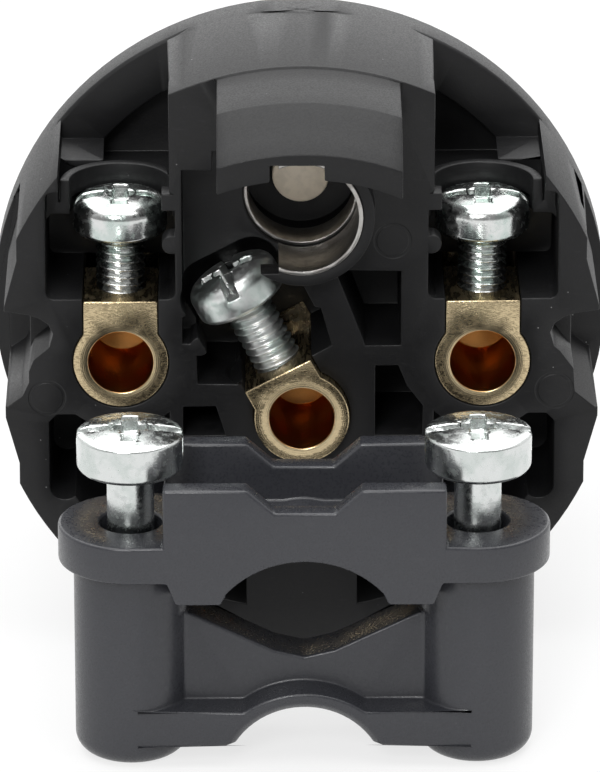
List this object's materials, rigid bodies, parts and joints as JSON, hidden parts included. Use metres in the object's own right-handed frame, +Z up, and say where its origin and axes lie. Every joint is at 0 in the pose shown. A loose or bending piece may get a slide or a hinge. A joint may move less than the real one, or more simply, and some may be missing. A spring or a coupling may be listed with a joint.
{
  "type": "schuko socket contact insert",
  "caption": "Rewirable contact insert of an earthed coupling socket: carrier, brass terminals, earth bow, screws and a cable clamp.",
  "frame": {"origin": "Middle of the contact face, between the two pin entries.", "axes": "+Y points out of the contact face towards the plug, +X runs from the line to the neutral contact, +Z points up to the locating tongue."},
  "size_m": [0.038, 0.0583, 0.038],
  "materials": {
    "carrier_black": "Black moulded plastic with a fine matt grain, slightly lighter and scuffed on its edges.",
    "clamp_slate": "Dark slate-grey moulded plastic with a soft sheen.",
    "terminal_brass": "Bare turned brass with fine tool marks on the cut faces.",
    "screw_zinc": "Bright zinc plated steel with a faint pink and green passivation tint.",
    "spring_steel": "Plain bright spring steel.",
    "earth_nickel": "Nickel plated strip, slightly warm and satin."
  },
  "bodies": {
    "root": {"contact_carrier": "carrier_black", "face_cap": "carrier_black", "clamp_saddle": "clamp_slate", "clamp_bar": "clamp_slate", "line_contact": "terminal_brass", "neutral_contact": "terminal_brass", "earth_terminal": "terminal_brass", "line_screw": "screw_zinc", "neutral_screw": "screw_zinc", "earth_screw": "screw_zinc", "clamp_screw_left": "screw_zinc", "clamp_screw_right": "screw_zinc", "line_spring_ring": "spring_steel", "neutral_spring_ring": "spring_steel", "earth_bow": "earth_nickel", "earth_rivet": "earth_nickel", "rear_tunnel_bush": "earth_nickel", "front_tunnel_bush": "earth_nickel"}
  },
  "joints": []
}
